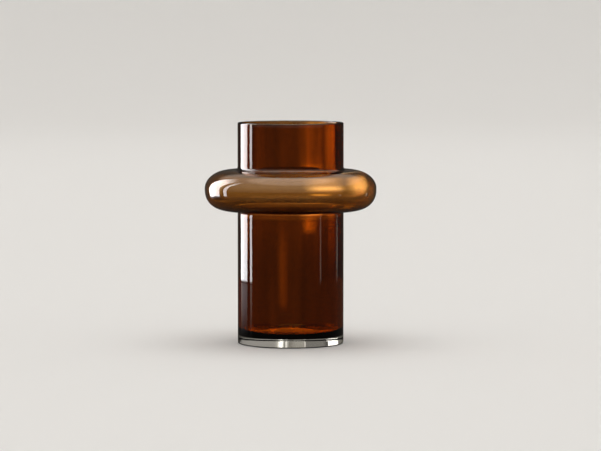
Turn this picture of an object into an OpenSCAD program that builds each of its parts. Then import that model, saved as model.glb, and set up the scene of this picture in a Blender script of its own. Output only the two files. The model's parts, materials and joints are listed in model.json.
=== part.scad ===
// Ring vase in cased glass: a straight tube with one hollow, flattened ring blown out of it.
// A coloured lining carries a clear casing of the same thickness, and both stand on a thick clear foot.
// The origin is on the axis, in the plane that the foot stands on, and +Z points out of the mouth.

/* [Tube] */
// Height from the underside of the foot to the top of the rim
height = 190; // [180:1:230]
// Outside diameter of the tube, which is the body below the ring and the neck above it
tube_d = 91; // [84:0.5:96]
// Thickness of the tube's wall, lining and casing together
tube_wall = 2.5; // [2:0.1:3.6]

/* [Ring] */
// Outside diameter of the ring at its widest
ring_d = 147.5; // [144:0.5:160]
// Height of the ring's widest level above the underside of the foot
ring_z = 133.2; // [124:0.2:136]
// Height of the ring above its widest level
ring_rise = 15.9; // [14:0.1:19]
// Depth of the ring below its widest level
ring_drop = 19.1; // [16:0.1:22]
// Width of the rounded shoulder above the widest level
shoulder_w = 21; // [16:0.5:22]
// Width of the rounded belly below the widest level
belly_w = 23.3; // [16:0.1:23.4]
// Squareness of the belly's curve, where 2 is an ellipse
belly_power = 2.4; // [2:0.1:3]
// Thickness of the ring's wall, lining and casing together
ring_wall = 1.6; // [1.2:0.1:2.4]
// Thickness of the coloured lining in the ring, which is blown out thin there
ring_lining = 0.5; // [0.3:0.1:0.7]
// Radius of the hollow curve where the ring meets the neck
neck_fillet = 3; // [1.5:0.1:3.5]
// Radius of the hollow curve where the ring meets the body
body_fillet = 2.2; // [1.5:0.1:3.5]

/* [Bottom] */
// Thickness of the clear foot
foot_h = 7.5; // [5:0.1:12]
// Radius of the foot's polished lower edge
foot_edge = 1.2; // [0.5:0.1:2.5]
// Thickness of the coloured floor on top of the foot, at the floor's edge
floor_t = 2.2; // [2.1:0.1:5]
// Height of the low dome that the floor rises to in the middle
floor_dome = 3; // [0.5:0.1:5]
// Radius inside the vase where the floor turns up into the wall
floor_curve = 5; // [4:0.5:12]
// Radius outside the lining, where the casing fills the corner over the foot
lining_corner = 2; // [1:0.1:3]

/* [Hidden] */
$fn = 96;
STEPS = 16;
DOME_STEPS = 12;
ELLIPSE = 2;
AMBER = [0.48, 0.2, 0.04, 0.85];
CLEAR = [0.86, 0.9, 0.88, 0.35];
tube_r = tube_d / 2;
ring_r = ring_d / 2;
casing_wall = tube_wall / 2;
ring_casing = ring_wall - ring_lining;
ring_top = ring_z + ring_rise;
ring_under = ring_z - ring_drop;
rim_r = tube_r - tube_wall / 2;
rim_round = tube_wall / 2;
rim_z = height - rim_round;
lining_r = tube_r - casing_wall;
bore_r = tube_r - tube_wall;
floor_z = foot_h + floor_t;
dome_r = bore_r - floor_curve;

// A value raised to a power, keeping its sign.
function signed_pow(value, power) = sign(value) * pow(abs(value), power);

// Points of a superellipse about a centre [r, z], from one angle to another. The first point is left out
// where skip is 1, because the curve before it already ends there.
function arc_points(centre, half_r, half_z, from, to, power = ELLIPSE, skip = 0) = [
    for (i = [skip : STEPS])
        let (angle = from + (to - from) * i / STEPS)
        centre + [
            half_r * signed_pow(cos(angle), 2 / power),
            half_z * signed_pow(sin(angle), 2 / power)
        ]
];

// One surface of the wall in section, from the body up to where the rim starts to round. The surface lies
// tube_in inside the tube's outside and ring_in inside the ring's.
function wall_curve(tube_in, ring_in) = concat(
    arc_points([tube_r + body_fillet, ring_under - body_fillet],
               body_fillet + tube_in, body_fillet + ring_in, 180, 90),
    arc_points([ring_r - belly_w, ring_z],
               belly_w - ring_in, ring_drop - ring_in, -90, 0, belly_power),
    arc_points([ring_r - shoulder_w, ring_z],
               shoulder_w - ring_in, ring_rise - ring_in, 0, 90, ELLIPSE, 1),
    arc_points([tube_r + neck_fillet, ring_top + neck_fillet],
               neck_fillet + tube_in, neck_fillet + ring_in, 270, 180)
);

// The points of a list in the opposite order.
function reversed(points) = [for (i = [len(points) - 1 : -1 : 0]) points[i]];

// The boundary between the lining and the casing, from the foot up to where the ring's curve ends. Above
// that it runs straight up to the crest of the rim, which both surfaces below end in.
function layer_boundary() = concat(
    arc_points([lining_r - lining_corner, foot_h + lining_corner],
               lining_corner, lining_corner, -90, 0),
    wall_curve(casing_wall, ring_casing)
);

// The low dome of the floor, from its middle to just short of its edge.
function dome_points() = [
    for (i = [0 : DOME_STEPS - 1])
        let (rise = (1 + cos(180 * i / DOME_STEPS)) / 2)
        [dome_r * i / DOME_STEPS, floor_z + floor_dome * rise]
];

// The vase's inside surface, from the middle of the floor up to the crest of the rim.
function inside_surface() = concat(
    dome_points(),
    arc_points([dome_r, floor_z + floor_curve],
               floor_curve, floor_curve, -90, 0),
    wall_curve(tube_wall, ring_wall),
    arc_points([rim_r, rim_z], rim_round, rim_round, 180, 90)
);

// The vase's outside surface above the foot, up to the crest of the rim.
function outside_surface() = concat(
    [[tube_r, foot_h]],
    wall_curve(0, 0),
    arc_points([rim_r, rim_z], rim_round, rim_round, 0, 90)
);

// Coloured inner layer: floor, body, ring, neck and the inner half of the rim.
module amber_lining() {
    color(AMBER)
        rotate_extrude()
            polygon(concat([[0, foot_h]], layer_boundary(), reversed(inside_surface())));
}

// Clear outer layer: body, ring, neck and the outer half of the rim.
module clear_casing() {
    color(CLEAR)
        rotate_extrude()
            polygon(concat(outside_surface(), reversed(layer_boundary())));
}

// Thick clear foot with a polished lower edge, flat underneath.
module clear_foot() {
    color(CLEAR)
        rotate_extrude()
            polygon(concat(
                [[0, 0]],
                arc_points([tube_r - foot_edge, foot_edge], foot_edge, foot_edge, -90, 0),
                [[tube_r, foot_h], [0, foot_h]]
            ));
}

amber_lining();
clear_casing();
clear_foot();
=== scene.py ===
"""Looks for the ring vase: cased glass with an amber lining, on a pale studio floor. Metres, +Z up."""

import json
import math

import bpy
import numpy as np
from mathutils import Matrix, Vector


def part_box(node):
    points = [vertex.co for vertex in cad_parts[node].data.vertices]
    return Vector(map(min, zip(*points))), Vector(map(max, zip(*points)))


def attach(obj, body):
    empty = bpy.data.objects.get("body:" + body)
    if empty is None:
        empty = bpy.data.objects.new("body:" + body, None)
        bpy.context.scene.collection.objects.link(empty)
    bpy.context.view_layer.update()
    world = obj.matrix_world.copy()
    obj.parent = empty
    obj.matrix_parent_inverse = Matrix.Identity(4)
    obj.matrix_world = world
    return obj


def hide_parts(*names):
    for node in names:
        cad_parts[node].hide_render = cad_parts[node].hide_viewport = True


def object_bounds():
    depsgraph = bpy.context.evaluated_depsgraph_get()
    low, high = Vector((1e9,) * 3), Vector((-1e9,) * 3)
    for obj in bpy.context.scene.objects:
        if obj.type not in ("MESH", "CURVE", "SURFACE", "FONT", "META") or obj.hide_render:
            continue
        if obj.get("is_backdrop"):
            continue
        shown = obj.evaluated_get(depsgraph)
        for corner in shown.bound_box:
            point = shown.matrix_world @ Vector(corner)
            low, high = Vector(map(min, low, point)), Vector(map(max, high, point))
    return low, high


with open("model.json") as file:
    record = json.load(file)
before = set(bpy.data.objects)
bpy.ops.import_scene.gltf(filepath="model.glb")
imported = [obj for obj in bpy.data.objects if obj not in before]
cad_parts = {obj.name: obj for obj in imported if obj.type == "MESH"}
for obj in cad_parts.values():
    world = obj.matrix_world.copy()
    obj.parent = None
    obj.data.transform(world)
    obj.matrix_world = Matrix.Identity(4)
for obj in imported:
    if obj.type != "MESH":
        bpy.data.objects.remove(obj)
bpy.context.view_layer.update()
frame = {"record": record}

MM = 0.001

# The curves of the wall, as the CAD part has them.
RING_Z = 133.2 * MM
RING_RISE = 15.9 * MM
RING_DROP = 19.1 * MM
SHOULDER_W = 21.0 * MM
BELLY_W = 23.3 * MM
BELLY_POWER = 2.4
NECK_FILLET = 3.0 * MM
BODY_FILLET = 2.2 * MM
RING_WALL = 1.6 * MM
RING_LINING = 0.5 * MM
FLOOR_THICK = 2.2 * MM
FLOOR_DOME = 3.0 * MM
DOME_STEPS = 12
FLOOR_CURVE = 5.0 * MM
LINING_CORNER = 2.0 * MM
FOOT_EDGE = 1.2 * MM
RIM_ROUND_STEPS = 12
ARC_STEPS = 36
SEGMENTS = 360
STRAIGHT_STEP = 3.0 * MM
# A length below this counts as nothing, and an edge sharper than this many degrees stays sharp.
TINY = 1e-9
SHARP_EDGE = 50
# The lining's solid lies this far inside the glass that carries it, so no two faces share a place.
EMBED = 0.04 * MM
# Mouth-blown glass is never quite even: the inside surface waves in and out by about this much.
WAVE = 0.07 * MM

# The studio floor lies just under the foot.
FLOOR_LEVEL = -0.2 * MM
PALE_FLOOR = (0.80, 0.79, 0.775)

# How much of each colour one wall lets through: the casing's share of it in the tube, over most of the
# ring, and at the floor inside.
# The ring's top carries a grey painted dark reflection, and its belly and bottom edge carry painted shade,
# darkest at the edge.
TUBE_TINT = (0.525, 0.325, 0.075)
TUBE_STREAKS = (0.82, 1.2)
# Painted dark reflection: the ring's flat top is greyed and darkened.
SHOULDER_PAINTED_REFLECTION = (0.34, 0.33, 0.28)
RING_TINT = (0.93, 0.755, 0.46)
# Painted shade: the ring's belly is darker, and its bottom edge near black.
BELLY_PAINTED_SHADE = (0.66, 0.42, 0.12)
BOTTOM_PAINTED_SHADE = (0.08, 0.03, 0.006)
FLOOR_TINT = (0.95, 0.6, 0.26)
# What the lining and the foot take up of each colour, per metre of glass.
LINING_ABSORBS = (150.0, 500.0, 900.0)
FOOT_ABSORBS = (4.2, 4.6, 5.6)

# The window behind and to the left and the narrow pane beside it: name, azimuths from and to.
WINDOWS = (
    ("window", (-134, -105.2)),
    ("window_side", (-96.4, -89.7)),
)
WINDOW_DISTANCE = 0.61

# What shows only through the casing: name, distance, azimuths, levels, radiance, softness.
CASING_LIGHTS = (
    ("flame", 1.2, (175.6, 179.3), (0.035, 0.11), 1.2, (1.7, 0.035, 0.05)),
    ("blur", 1.2, (177.1, 178.9), (0.003, 0.03), 1.3, (0.8, 0.011, 0.013)),
    ("streak_low", 0.25, (-179.3, -176.3), (0.001, 0.09), 0.28, (1.4, 0.01, 0.04)),
)

# What only the foot shows: name, azimuths from and to, radiance, softness of the sides in degrees.
FOOT_LIGHTS = (
    ("foot_right", (-240, -184), 0.40, 6),
    ("foot_left", (-182, -150), 0.20, 6),
    ("foot_bright", (-154, -130), 2.6, 2),
    ("foot_tick_a", (-186.5, -184.8), 0.7, 0.3),
    ("foot_tick_b", (-183.0, -182.2), 0.9, 0.2),
    ("foot_tick_c", (-171.0, -170.0), 0.6, 0.2),
)
FOOT_WARMTH = (1.0, 0.975, 0.95)

# The camera looks slightly down at the vase, from about 2.5 m away through a long lens.
CAMERA_PLACE = (0.0085, -2.47, 0.277)
CAMERA_AIM = (0.0085, 0.0, 0.1012)
SENSOR_WIDTH = 36.0
FOCAL_LENGTH = 172.5


# ---------------------------------------------------------------- profiles


def arc(centre, half_r, half_z, start, end, power=2.0, steps=ARC_STEPS):
    """Points of a superellipse about centre, from one angle to another, in degrees."""
    points = []
    for i in range(steps + 1):
        angle = math.radians(start + (end - start) * i / steps)
        c, s = math.cos(angle), math.sin(angle)
        r = centre[0] + half_r * math.copysign(abs(c) ** (2 / power), c)
        z = centre[1] + half_z * math.copysign(abs(s) ** (2 / power), s)
        points.append((r, z))
    return points


def filled(points):
    """The same outline with long straight stretches divided, so that each can carry a slight wave."""
    out = [points[0]]
    for a, b in zip(points, points[1:]):
        length = math.dist(a, b)
        if length < TINY:
            continue
        steps = max(1, math.ceil(length / STRAIGHT_STEP))
        out += [
            (a[0] + (b[0] - a[0]) * i / steps, a[1] + (b[1] - a[1]) * i / steps)
            for i in range(1, steps + 1)
        ]
    return out


class Vase:
    """The vase's levels and radii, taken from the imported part."""

    def __init__(self, record):
        low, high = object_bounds()
        self.height = high[2]
        self.ring_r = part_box("clear_casing")[1].x
        self.tube_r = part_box("clear_foot")[1].x
        self.foot_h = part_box("clear_foot")[1].z
        mouth = next(m for m in record["mounts"] if m["name"] == "mouth")
        self.bore_r = mouth["dims"]["r_mm"] * MM
        self.wall = self.tube_r - self.bore_r
        self.lining = self.wall / 2
        self.rim_r = self.tube_r - self.wall / 2
        self.rim_z = self.height - self.wall / 2
        self.floor_z = self.foot_h + FLOOR_THICK

    def wall_curve(self, tube_in, ring_in):
        """One surface of the wall from the body to the neck, that far inside the outside."""
        top, under = RING_Z + RING_RISE, RING_Z - RING_DROP
        body = (self.tube_r + BODY_FILLET, under - BODY_FILLET)
        neck = (self.tube_r + NECK_FILLET, top + NECK_FILLET)
        return (
            arc(body, BODY_FILLET + tube_in, BODY_FILLET + ring_in, 180, 90)
            + arc(
                (self.ring_r - BELLY_W, RING_Z),
                BELLY_W - ring_in,
                RING_DROP - ring_in,
                -90,
                0,
                BELLY_POWER,
            )
            + arc(
                (self.ring_r - SHOULDER_W, RING_Z),
                SHOULDER_W - ring_in,
                RING_RISE - ring_in,
                0,
                90,
            )
            + arc(neck, NECK_FILLET + tube_in, NECK_FILLET + ring_in, 270, 180)
        )

    def rim(self, start, end, inset=0.0):
        radius = self.wall / 2 - inset
        return arc((self.rim_r, self.rim_z), radius, radius, start, end, steps=RIM_ROUND_STEPS)

    def outside(self):
        return [(self.tube_r, self.foot_h)] + self.wall_curve(0, 0) + self.rim(0, 90)

    def inside(self, inset=0.0):
        """From the middle of the floor to the crest of the rim, inset into the glass by that much."""
        curve = FLOOR_CURVE + inset
        corner = (self.bore_r - FLOOR_CURVE, self.floor_z + FLOOR_CURVE)
        dome = [
            (
                corner[0] * i / DOME_STEPS,
                self.floor_z - inset + FLOOR_DOME * (1 + math.cos(math.pi * i / DOME_STEPS)) / 2,
            )
            for i in range(DOME_STEPS)
        ]
        return (
            dome
            + arc(corner, curve, curve, -90, 0)
            + self.wall_curve(self.wall - inset, RING_WALL - inset)
            + self.rim(180, 90, inset)
        )

    def boundary(self):
        """Where the lining meets the casing, from the middle of the floor to under the rim's crest."""
        lining_r = self.tube_r - self.wall + self.lining
        low = self.foot_h + EMBED
        corner = (lining_r - LINING_CORNER, low + LINING_CORNER)
        return (
            [(0.0, low)]
            + arc(corner, LINING_CORNER, LINING_CORNER, -90, 0)
            + self.wall_curve(self.wall - self.lining, RING_WALL - RING_LINING)
            + [(self.rim_r, self.height - EMBED)]
        )


# ---------------------------------------------------------------- meshes


def wave(angle, z):
    """How far the inside surface stands in or out, in units of WAVE, at one place round the vase."""
    turn = 9.0 * z
    return (
        0.5 * np.sin(3 * angle + 0.7 + turn)
        + 0.3 * np.sin(5 * angle + 2.1 - 1.7 * turn)
        + 0.2 * np.sin(11 * angle + 4.0 + 0.6 * turn)
    )


def revolve(name, outline):
    """A closed mesh swept round the axis from (r, z, material index of the band that ends there, waves)."""
    angles = np.linspace(0, 2 * math.pi, SEGMENTS, endpoint=False)
    starts, points = [], []
    for r, z, _, waves in outline:
        starts.append(len(points))
        if r < TINY:
            points.append((0.0, 0.0, z))
            continue
        radii = r + waves * WAVE * wave(angles, z)
        points += list(zip(radii * np.cos(angles), radii * np.sin(angles), [z] * SEGMENTS))
    faces, slots = [], []
    for k in range(len(outline) - 1):
        a, b = starts[k], starts[k + 1]
        on_a, on_b = outline[k][0] < TINY, outline[k + 1][0] < TINY
        for i in range(SEGMENTS):
            j = (i + 1) % SEGMENTS
            if on_a:
                face = (a, b + j, b + i)
            elif on_b:
                face = (a + i, a + j, b)
            else:
                face = (a + i, a + j, b + j, b + i)
            faces.append(face)
            slots.append(outline[k + 1][2])
    mesh = bpy.data.meshes.new(name)
    mesh.from_pydata([tuple(map(float, p)) for p in points], [], faces)
    mesh.polygons.foreach_set("material_index", slots)
    mesh.polygons.foreach_set("use_smooth", [True] * len(faces))
    mesh.set_sharp_from_angle(angle=math.radians(SHARP_EDGE))
    mesh.update()
    piece = bpy.data.objects.new(name, mesh)
    bpy.context.scene.collection.objects.link(piece)
    return piece


def band(points, slot, waves=0.0):
    """Outline points with their material index and how much of the inside surface's wave they take."""
    return [(r, z, slot, waves) for r, z in filled(points)]


def casing_piece(vase):
    """The whole wall as one optical solid, closed underneath where it is fused to the foot."""
    join = band([(0.0, vase.foot_h), (vase.tube_r, vase.foot_h)], 1)
    out = band(vase.outside(), 0)
    back = band(vase.inside(), 0, 1.0)[::-1]
    return revolve("casing_glass", join + out[1:] + back[1:])


def lining_piece(vase):
    """The coloured layer, just inside the surfaces of the glass that carries it."""
    out = band(vase.boundary(), 0)
    back = band(vase.inside(EMBED), 0, 1.0)[::-1]
    return revolve("amber_glass", out + back)


def foot_piece(vase):
    """The foot: ground face, side with its polished edge, and the face fused to the casing."""
    edge = arc((vase.tube_r - FOOT_EDGE, FOOT_EDGE), FOOT_EDGE, FOOT_EDGE, -90, 0, steps=RIM_ROUND_STEPS)
    under = band([(0.0, 0.0), edge[0]], 1)
    side = band(edge[1:] + [(vase.tube_r, vase.foot_h)], 0)
    join = band([(vase.tube_r, vase.foot_h), (0.0, vase.foot_h)], 2)[1:]
    return revolve("foot_glass", under + side + join)


# ---------------------------------------------------------------- materials


def material(name):
    """A new material, its node tree and its shader."""
    mat = bpy.data.materials.new(name)
    mat.use_nodes = True
    return mat, mat.node_tree, mat.node_tree.nodes["Principled BSDF"]


def glass(name, ior=1.5):
    """Clear smooth glass, or with an index of 1.0 a surface that light crosses unbent."""
    mat, tree, shader = material(name)
    shader.inputs["Transmission Weight"].default_value = 1.0
    shader.inputs["IOR"].default_value = ior
    shader.inputs["Roughness"].default_value = 0.0
    shader.inputs["Base Color"].default_value = (1, 1, 1, 1)
    return mat, tree, shader


def absorbing(mat, per_metre):
    """Gives a glass solid a colour in its depth, from what it takes up of red, green and blue."""
    tree = mat.node_tree
    node = tree.nodes.new("ShaderNodeVolumeAbsorption")
    # The density has to be a little above the strongest absorption, so that no colour falls below 0.
    density = max(per_metre) * 1.02
    node.inputs["Color"].default_value = (*(1 - a / density for a in per_metre), 1)
    node.inputs["Density"].default_value = density
    tree.links.new(node.outputs[0], tree.nodes["Material Output"].inputs["Volume"])
    return mat


def math_node(tree, operation, a, b=None):
    """One sum on numbers or on the outputs of other nodes."""
    node = tree.nodes.new("ShaderNodeMath")
    node.operation = operation
    for socket, value in zip(node.inputs, (a, b)):
        if value is None:
            continue
        if isinstance(value, (int, float)):
            socket.default_value = value
        else:
            tree.links.new(value, socket)
    return node.outputs[0]


def ramp(tree, value, low, high):
    """0 below low, 1 above high, smooth between."""
    node = tree.nodes.new("ShaderNodeMapRange")
    node.interpolation_type = "SMOOTHSTEP"
    tree.links.new(value, node.inputs["Value"])
    node.inputs["From Min"].default_value = low
    node.inputs["From Max"].default_value = high
    return node.outputs["Result"]


def mix(tree, factor, a, b):
    """Colour a where the factor is 0 and colour b where it is 1. Either may be a node's output."""
    node = tree.nodes.new("ShaderNodeMix")
    node.data_type = "RGBA"
    tree.links.new(factor, node.inputs["Factor"])
    # Sockets 6 and 7 take the colours, and output 2 gives one: the rest are for numbers and vectors.
    for index, value in ((6, a), (7, b)):
        if isinstance(value, tuple):
            node.inputs[index].default_value = (*value, 1)
        else:
            tree.links.new(value, node.inputs[index])
    return node.outputs[2]


def position(tree):
    """The place on the piece, its level and its distance from the axis, in metres."""
    coords = tree.nodes.new("ShaderNodeTexCoord")
    parts = tree.nodes.new("ShaderNodeSeparateXYZ")
    tree.links.new(coords.outputs["Object"], parts.inputs[0])
    x, y, z = parts.outputs
    squares = [math_node(tree, "MULTIPLY", side, side) for side in (x, y)]
    radius = math_node(tree, "SQRT", math_node(tree, "ADD", *squares))
    return coords.outputs["Object"], z, radius


def noise(tree, coords, scale, stretch=(1, 1, 1), detail=2.0):
    """Noise with that many lumps to the metre, drawn out along an axis where stretch is below 1."""
    mapping = tree.nodes.new("ShaderNodeMapping")
    mapping.inputs["Scale"].default_value = stretch
    tree.links.new(coords, mapping.inputs["Vector"])
    node = tree.nodes.new("ShaderNodeTexNoise")
    node.inputs["Scale"].default_value = scale
    node.inputs["Detail"].default_value = detail
    tree.links.new(mapping.outputs[0], node.inputs["Vector"])
    return node.outputs["Fac"]


def bumped(tree, shader, height, depth):
    """Lets a pattern stand up from the surface by at most that depth, in metres."""
    node = tree.nodes.new("ShaderNodeBump")
    node.inputs["Distance"].default_value = depth
    tree.links.new(height, node.inputs["Height"])
    tree.links.new(node.outputs[0], shader.inputs["Normal"])


def ring_tint_and_painted_shade(tree, z, radius, tube_r):
    """Pale and golden on the ring, with painted shade: a grey painted dark reflection on its flat top,
    darker in its belly and darkest at its bottom edge.
    """
    # Painted shade on the ring's lower half, darkest at its bottom edge.
    belly = ramp(tree, z, RING_Z - 2.0 * MM, RING_Z - 10.0 * MM)
    bottom = ramp(tree, z, RING_Z - 9.0 * MM, RING_Z - 18.0 * MM)
    # Painted dark reflection, grey, on the ring's flat top.
    top = ramp(tree, z, RING_Z + 11.0 * MM, RING_Z + 15.8 * MM)
    colour = mix(tree, belly, RING_TINT, BELLY_PAINTED_SHADE)
    colour = mix(tree, bottom, colour, BOTTOM_PAINTED_SHADE)
    colour = mix(tree, top, colour, SHOULDER_PAINTED_REFLECTION)
    out_on_ring = ramp(tree, radius, tube_r + 1.0 * MM, tube_r + 5.0 * MM)
    return mix(tree, out_on_ring, RING_TINT, colour)


def wall_glass(vase):
    """The casing's glass, which shows the lining's colour: deep in the tube, golden in the thin ring, with
    painted shade on the ring and a painted highlight just under it.
    """
    mat, tree, shader = glass("clear_glass_over_amber")
    coords, z, radius = position(tree)
    # A narrow band of the body just under the ring is painted golden and lighter, as the ring is: a painted
    # highlight.
    under = RING_Z - RING_DROP
    band_starts = ramp(tree, z, under - 6.5 * MM, under - 3.5 * MM)
    band_ends = ramp(tree, z, under + 12.0 * MM, under + 4.0 * MM)
    painted_highlight_band = math_node(tree, "MULTIPLY", band_starts, band_ends)
    out_on_ring = ramp(tree, radius, vase.tube_r + 1.0 * MM, vase.tube_r + 9.0 * MM)
    # The golden colour goes on the thin ring and on the painted highlight band alike.
    thin = math_node(tree, "MAXIMUM", out_on_ring, painted_highlight_band)
    # Long upright cords, as blown glass has.
    streaks = ramp(tree, noise(tree, coords, 85.0, (1, 1, 0.05), 3.0), 0.36, 0.64)
    dark, light = (tuple(share * c for c in TUBE_TINT) for share in TUBE_STREAKS)
    colour = mix(tree, streaks, dark, light)
    colour = mix(tree, thin, colour, ring_tint_and_painted_shade(tree, z, radius, vase.tube_r))
    dome_top = vase.floor_z + FLOOR_DOME
    low = ramp(tree, z, dome_top + 3.0 * MM, dome_top)
    inside = ramp(tree, radius, vase.bore_r - 1.0 * MM, vase.bore_r - 5.0 * MM)
    colour = mix(tree, math_node(tree, "MULTIPLY", low, inside), colour, FLOOR_TINT)
    tree.links.new(colour, shader.inputs["Base Color"])
    bumped(tree, shader, noise(tree, coords, 26.0, (1, 1, 0.35), 1.0), 0.12 * MM)
    return mat


def foot_glass():
    """The foot's clear side, faintly grey in its depth, with the soft ripples of hot-worked glass."""
    mat, tree, shader = glass("foot_clear")
    coords = position(tree)[0]
    cloud = noise(tree, coords, 40.0, (1, 1, 0.5))
    tree.links.new(mix(tree, cloud, (0.93, 0.94, 0.93), (1, 1, 1)), shader.inputs["Base Color"])
    bumped(tree, shader, noise(tree, coords, 60.0, (1, 1, 0.4)), 0.15 * MM)
    return absorbing(mat, FOOT_ABSORBS)


def ground_glass():
    """The foot's underside, ground flat, polished, and scuffed with use near its edge."""
    mat, tree, shader = glass("foot_underside")
    coords, _, radius = position(tree)
    scuffs = ramp(tree, noise(tree, coords, 180.0, detail=6.0), 0.45, 0.7)
    worn = math_node(tree, "MULTIPLY", scuffs, ramp(tree, radius, 30.0 * MM, 42.0 * MM))
    rough = math_node(tree, "ADD", math_node(tree, "MULTIPLY", worn, 0.25), 0.06)
    tree.links.new(rough, shader.inputs["Roughness"])
    tree.links.new(mix(tree, worn, (1, 1, 1), (0.86, 0.86, 0.85)), shader.inputs["Base Color"])
    return absorbing(mat, FOOT_ABSORBS)


def floor_material():
    """Plain matt paint, for the studio's floor."""
    mat, _, shader = material("pale_floor")
    shader.inputs["Base Color"].default_value = (*PALE_FLOOR, 1)
    shader.inputs["Roughness"].default_value = 0.8
    shader.inputs["Specular IOR Level"].default_value = 0.0
    return mat


# ---------------------------------------------------------------- studio


def seen_only_in_glass(card, glossy=True, transmission=True):
    """Hides a card from the camera and from matt surfaces, so that only reflections and glass show it."""
    card.visible_camera = False
    card.visible_diffuse = False
    card.visible_shadow = False
    card.visible_glossy = glossy
    card.visible_transmission = transmission
    card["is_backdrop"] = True


def arc_card(name, distance, start, end, low, high):
    """A card round the vase between two azimuths: 0 is toward the camera and + to the right."""
    degrees_a_step = 4
    steps = max(2, math.ceil((end - start) / degrees_a_step))
    points = []
    for i in range(steps + 1):
        angle = math.radians(start + (end - start) * i / steps)
        x, y = distance * math.sin(angle), -distance * math.cos(angle)
        points += [(x, y, low), (x, y, high)]
    faces = [(2 * i, 2 * i + 2, 2 * i + 3, 2 * i + 1) for i in range(steps)]
    mesh = bpy.data.meshes.new(name)
    mesh.from_pydata(points, [], faces)
    card = bpy.data.objects.new(name, mesh)
    bpy.context.scene.collection.objects.link(card)
    return card


def soft_window(tree, start, end, low, high, soft_side, soft_low, soft_high):
    """1 inside a card's azimuths and levels, falling to 0 over the soft widths inside its edges."""
    coords = tree.nodes.new("ShaderNodeTexCoord")
    parts = tree.nodes.new("ShaderNodeSeparateXYZ")
    tree.links.new(coords.outputs["Object"], parts.inputs[0])
    x, y, z = parts.outputs
    # The azimuth is measured from the card's middle, so that it never jumps by a turn.
    turn = math.radians((start + end) / 2)
    along = math_node(
        tree, "ADD",
        math_node(tree, "MULTIPLY", x, math.cos(turn)),
        math_node(tree, "MULTIPLY", y, math.sin(turn)),
    )
    out = math_node(
        tree, "SUBTRACT",
        math_node(tree, "MULTIPLY", x, math.sin(turn)),
        math_node(tree, "MULTIPLY", y, math.cos(turn)),
    )
    azimuth = math_node(tree, "ARCTAN2", along, out)
    half = math.radians(end - start) / 2
    soft = math.radians(soft_side)
    across = math_node(
        tree, "MULTIPLY",
        ramp(tree, azimuth, -half, -half + soft),
        ramp(tree, azimuth, half, half - soft),
    )
    upright = math_node(
        tree, "MULTIPLY",
        ramp(tree, z, low, low + soft_low),
        ramp(tree, z, high, high - soft_high),
    )
    return math_node(tree, "MULTIPLY", across, upright)


def glow(name, distance, azimuths, levels, radiance, soft, colour=(1, 1, 1), **seen):
    """A soft light that adds to what is behind it, like the diffuser of a softbox seen in the glass.

    soft is the width over which it fades: degrees at the sides, metres at the bottom and at the top."""
    card = arc_card(name, distance, *azimuths, *levels)
    mat, tree, shader = material(name)
    tree.nodes.remove(shader)
    emit = tree.nodes.new("ShaderNodeEmission")
    emit.inputs["Color"].default_value = (*colour, 1)
    strength = math_node(tree, "MULTIPLY", soft_window(tree, *azimuths, *levels, *soft), radiance)
    tree.links.new(strength, emit.inputs["Strength"])
    clear = tree.nodes.new("ShaderNodeBsdfTransparent")
    both = tree.nodes.new("ShaderNodeAddShader")
    tree.links.new(emit.outputs[0], both.inputs[0])
    tree.links.new(clear.outputs[0], both.inputs[1])
    tree.links.new(both.outputs[0], tree.nodes["Material Output"].inputs["Surface"])
    card.data.materials.append(mat)
    seen_only_in_glass(card, **seen)
    return card


def screen(name, distance, azimuths, levels, colour, soft, **seen):
    """A dark screen with soft edges, which gives the glass its dark edges."""
    card = arc_card(name, distance, *azimuths, *levels)
    mat, tree, shader = material(name)
    tree.nodes.remove(shader)
    dark = tree.nodes.new("ShaderNodeEmission")
    dark.inputs["Color"].default_value = (*colour, 1)
    clear = tree.nodes.new("ShaderNodeBsdfTransparent")
    both = tree.nodes.new("ShaderNodeMixShader")
    tree.links.new(soft_window(tree, *azimuths, *levels, *soft), both.inputs[0])
    tree.links.new(clear.outputs[0], both.inputs[1])
    tree.links.new(dark.outputs[0], both.inputs[2])
    tree.links.new(both.outputs[0], tree.nodes["Material Output"].inputs["Surface"])
    card.data.materials.append(mat)
    seen_only_in_glass(card, **seen)


def table_in_glass():
    """The table that the glass shows, glowing with set colours in place of a lit table, which is painted
    light: darker than the floor, lighter far off, and with a painted shadow right under the vase.
    """
    half, level = 60, FLOOR_LEVEL / 2
    corners = [(-half, -half, level), (half, -half, level), (half, half, level), (-half, half, level)]
    mesh = bpy.data.meshes.new("table_in_glass")
    mesh.from_pydata(corners, [], [(0, 1, 2, 3)])
    table = bpy.data.objects.new("table_in_glass", mesh)
    bpy.context.scene.collection.objects.link(table)
    mat, tree, shader = material("table_in_glass")
    tree.nodes.remove(shader)
    radius = position(tree)[2]
    near, far, painted_shadow_under_vase = (0.19, 0.18, 0.16), (0.28, 0.265, 0.235), (0.06, 0.055, 0.05)
    colour = mix(tree, ramp(tree, radius, 0.7, 1.5), near, far)
    # Painted shadow: the table is darkest right under the vase.
    colour = mix(tree, ramp(tree, radius, 0.09, 0.04), colour, painted_shadow_under_vase)
    emit = tree.nodes.new("ShaderNodeEmission")
    tree.links.new(colour, emit.inputs["Color"])
    tree.links.new(emit.outputs[0], tree.nodes["Material Output"].inputs["Surface"])
    mesh.materials.append(mat)
    seen_only_in_glass(table, glossy=False)


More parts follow.
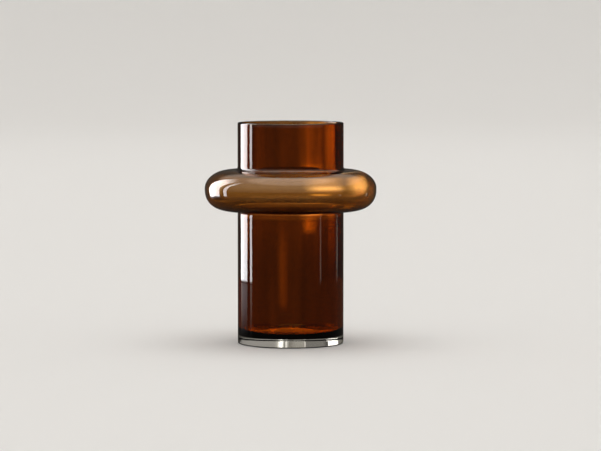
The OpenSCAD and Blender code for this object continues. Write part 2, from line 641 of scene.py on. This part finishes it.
def studio_world():
    """Soft light from above: dim at the horizon, bright overhead and dark below."""
    world = bpy.data.worlds.new("studio")
    bpy.context.scene.world = world
    world.use_nodes = True
    tree = world.node_tree
    coords = tree.nodes.new("ShaderNodeTexCoord")
    parts = tree.nodes.new("ShaderNodeSeparateXYZ")
    tree.links.new(coords.outputs["Generated"], parts.inputs[0])
    rise = parts.outputs[2]
    horizon, sky = (0.262, 0.2475, 0.218), (0.85, 0.84, 0.82)
    overhead, ground = (2.0, 1.97, 1.93), (0.045, 0.04, 0.035)
    colour = mix(tree, ramp(tree, rise, 0.0, 1.0), horizon, sky)
    colour = mix(tree, ramp(tree, rise, 0.80, 0.92), colour, overhead)
    colour = mix(tree, ramp(tree, rise, -0.005, -0.03), colour, ground)
    tree.links.new(colour, tree.nodes["Background"].inputs["Color"])


def low_light():
    """A flat light low behind the vase, facing down: only the floor inside the vase mirrors it."""
    radiance, near_edge, level = 2.6, 0.1, 0.11
    data = bpy.data.lights.new("low_light", "AREA")
    data.shape = "RECTANGLE"
    data.size, data.size_y = 0.5, 2.4
    data.energy = radiance * math.pi * data.size * data.size_y
    data.color = (1.0, 0.97, 0.92)
    lamp = bpy.data.objects.new("low_light", data)
    lamp.location = (0, near_edge + data.size_y / 2, level)
    lamp.visible_camera = False
    lamp.visible_diffuse = False
    lamp.visible_glossy = False
    bpy.context.scene.collection.objects.link(lamp)
    return lamp


def light_only(card, piece):
    """Lets a card light one piece of glass and no other."""
    linked = bpy.data.collections.new(card.name + "_lights")
    bpy.context.scene.collection.children.link(linked)
    linked.objects.link(piece)
    card.light_linking.receiver_collection = linked


def pale_floor():
    """A pale floor that sweeps up into a pale wall all round."""
    flat, bend, top = 5.0, 2.5, 7.0
    outline = [(r, FLOOR_LEVEL) for r in (0.0, 0.3, 1.5)]
    outline += arc((flat, FLOOR_LEVEL + bend), bend, bend, -90, 0)
    outline += [(flat + bend, top)]
    sweep = revolve("floor", [(r, z, 0, 0.0) for r, z in outline])
    sweep.data.materials.append(floor_material())
    # The glass sees a darker table than the camera does, so that its own colour stays deep.
    sweep.visible_glossy = False
    sweep.visible_transmission = False
    sweep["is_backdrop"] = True


def windows(casing):
    """The two windows as the glass mirrors them, as it lets them through, and as the table mirrors them."""
    levels, crisp, cool = (0.0, 0.9), (0.4, 0.004, 0.5), (0.98, 0.97, 1.0)
    for name, azimuths in WINDOWS:
        glow(name, WINDOW_DISTANCE, azimuths, levels, 9.0, crisp, cool, transmission=False)
    # Through the glass the window shows softer and dimmer.
    whole, soft = (-140, -100), (9, 0.06, 0.6)
    through = glow("window_through", WINDOW_DISTANCE, whole, levels, 4.0, soft, cool, glossy=False)
    light_only(through, casing)
    # A dull table mirrors the windows below their sill.
    below, faint, pink = (-0.06, 0.0), (0.8, 0.055, 0.001), (0.98, 0.94, 1.0)
    for name, azimuths in WINDOWS:
        glow(name + "_low", WINDOW_DISTANCE, azimuths, below, 0.75, faint, pink, transmission=False)


def streaks(casing):
    """Narrow lights that draw the thin bright lines and the orange folds in the walls."""
    low, tall = (0.0, 0.075), (0.001, 1.0)
    glow("strip_right", 0.60, (64, 68), low, 0.9, (1.0, 0.01, 0.01), (1.0, 0.85, 0.85))
    glow("strip_back", 0.60, (116, 120), low, 0.9, (1.0, 0.01, 0.01))
    glow("fold_near", 1.2, (175.8, 179.6), tall, 0.5, (1.8, 0.08, 0.3), glossy=False)
    glow("fold_far", 1.2, (170.5, 176.4), tall, 1.6, (2.4, 0.11, 0.5), glossy=False)
    for name, distance, azimuths, levels, radiance, soft in CASING_LIGHTS:
        light_only(glow(name, distance, azimuths, levels, radiance, soft, glossy=False), casing)


def foot_lights(foot):
    """Low lights behind the vase, which make the clear foot bright and put the fine lines in it."""
    distance, levels = 0.55, (0.0, 0.3)
    for name, azimuths, radiance, soft_side in FOOT_LIGHTS:
        soft = (soft_side, 0.01, 0.1)
        light_only(glow(name, distance, azimuths, levels, radiance, soft, FOOT_WARMTH), foot)


def screens():
    """Dark screens at both sides and behind, for the glass's dark edges."""
    levels, soft = (0.001, 0.6), (3, 0.001, 0.2)
    screen("screen_left", 0.64, (-171.5, -140), levels, (0.07, 0.065, 0.058), soft)
    screen("screen_right", 0.64, (70, 171.5), levels, (0.045, 0.04, 0.035), soft)
    levels, soft = (0.1, 1.6), (6, 0.05, 0.5)
    screen("screen_back", 2.4, (-240, -120), levels, (0.06, 0.06, 0.055), soft, transmission=False)


def studio(casing, foot):
    """The floor, the soft light, and everything that shows only in the glass."""
    pale_floor()
    table_in_glass()
    studio_world()
    windows(casing)
    streaks(casing)
    foot_lights(foot)
    light_only(low_light(), casing)
    screens()


def camera():
    """The photograph's view of the vase."""
    data = bpy.data.cameras.new("camera")
    data.sensor_width = SENSOR_WIDTH
    data.lens = FOCAL_LENGTH
    data.clip_end = 200
    cam = bpy.data.objects.new("camera", data)
    cam.location = CAMERA_PLACE
    aim = Vector(CAMERA_AIM) - cam.location
    cam.rotation_euler = aim.to_track_quat("-Z", "Y").to_euler()
    bpy.context.scene.collection.objects.link(cam)
    bpy.context.scene.camera = cam


def light_paths():
    """Long paths, because each wall of glass takes four crossings, and colours shown as they are."""
    scene = bpy.context.scene
    scene.cycles.max_bounces = 32
    scene.cycles.transmission_bounces = 32
    scene.cycles.glossy_bounces = 8
    scene.view_settings.view_transform = "Standard"


def dressed(piece, materials, node):
    """Puts materials on a piece of glass, hangs it on the root body, and hides the CAD node that it stands
    for.
    """
    for mat in materials:
        piece.data.materials.append(mat)
    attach(piece, "root")
    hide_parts(node)
    return piece


vase = Vase(frame["record"])
wall = wall_glass(vase)
fused_join = glass("fused_join", 1.0)[0]
foot_side = foot_glass()
foot_under = ground_glass()
amber = absorbing(glass("amber_glass", 1.0)[0], LINING_ABSORBS)
casing = dressed(casing_piece(vase), (wall, fused_join), "clear_casing")
dressed(lining_piece(vase), (amber,), "amber_lining")
foot = dressed(foot_piece(vase), (foot_side, foot_under, fused_join), "clear_foot")
studio(casing, foot)
camera()
light_paths()
